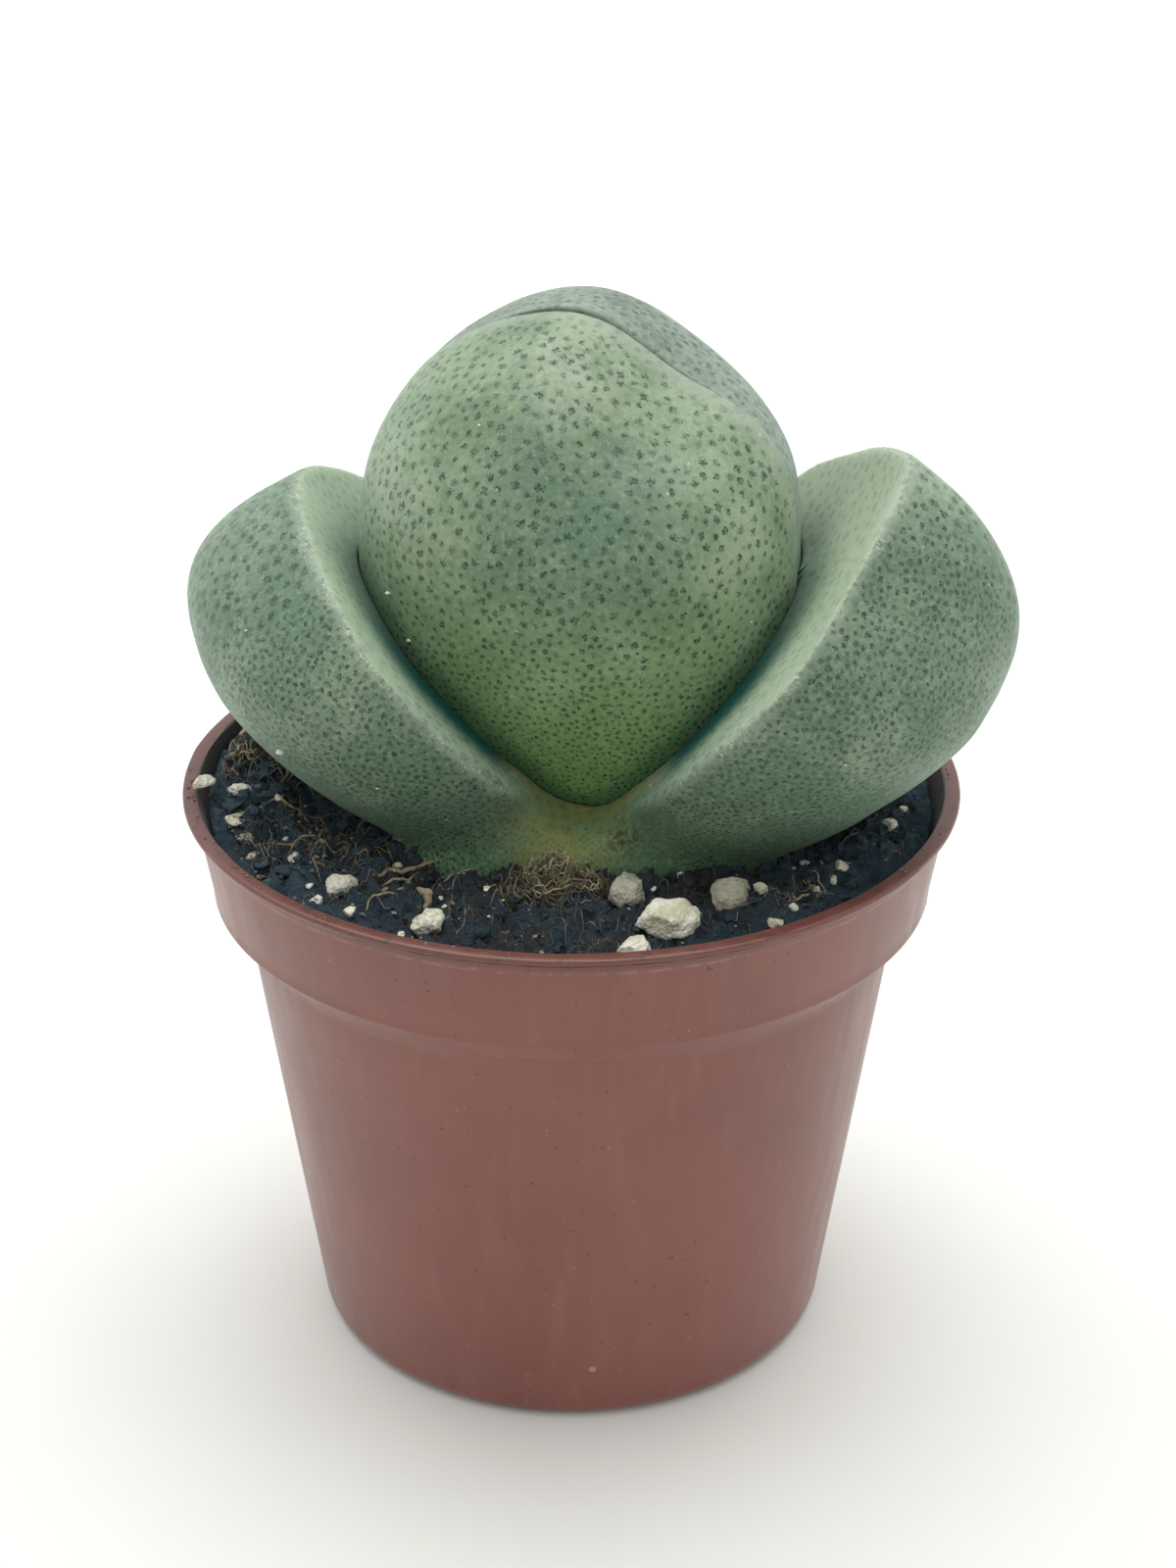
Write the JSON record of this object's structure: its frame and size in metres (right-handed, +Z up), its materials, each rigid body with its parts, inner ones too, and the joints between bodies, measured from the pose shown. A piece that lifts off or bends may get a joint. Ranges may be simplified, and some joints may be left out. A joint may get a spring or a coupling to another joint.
{
  "type": "potted split rock",
  "caption": "Small succulent with fat, flat-faced, round-backed leaves in crossed pairs, rooted in dark peat with white grit in a round tapered plastic pot; an ornament for a sill or desk",
  "frame": {"origin": "middle of the pot's flat underside", "axes": "+X to the right and +Y away from the front, where the split between the two upright leaves runs from side to side; +Z up along the pot's axis"},
  "size_m": [0.0576, 0.055, 0.076],
  "materials": {
    "pot": "satin terracotta-coloured moulded plastic",
    "soil": "loose dark peat, matte",
    "inner_leaf_front": "satin grey-green skin with small dark green dots",
    "inner_leaf_back": "satin grey-green skin with small dark green dots",
    "outer_leaf_left": "satin blue-grey green skin with small dark green dots and paler edges",
    "outer_leaf_right": "satin blue-grey green skin with small dark green dots and paler edges",
    "taproot": "matte pale brown root",
    "perlite_1": "matte off-white mineral",
    "perlite_2": "matte off-white mineral",
    "perlite_3": "matte off-white mineral",
    "perlite_4": "matte off-white mineral",
    "perlite_5": "matte off-white mineral",
    "perlite_6": "matte off-white mineral",
    "perlite_7": "matte off-white mineral",
    "perlite_8": "matte off-white mineral"
  },
  "bodies": {
    "root": {"pot": "pot", "soil": "soil", "inner_leaf_front": "inner_leaf_front", "inner_leaf_back": "inner_leaf_back", "outer_leaf_left": "outer_leaf_left", "outer_leaf_right": "outer_leaf_right", "taproot": "taproot", "perlite_1": "perlite_1", "perlite_2": "perlite_2", "perlite_3": "perlite_3", "perlite_4": "perlite_4", "perlite_5": "perlite_5", "perlite_6": "perlite_6", "perlite_7": "perlite_7", "perlite_8": "perlite_8"}
  },
  "joints": []
}
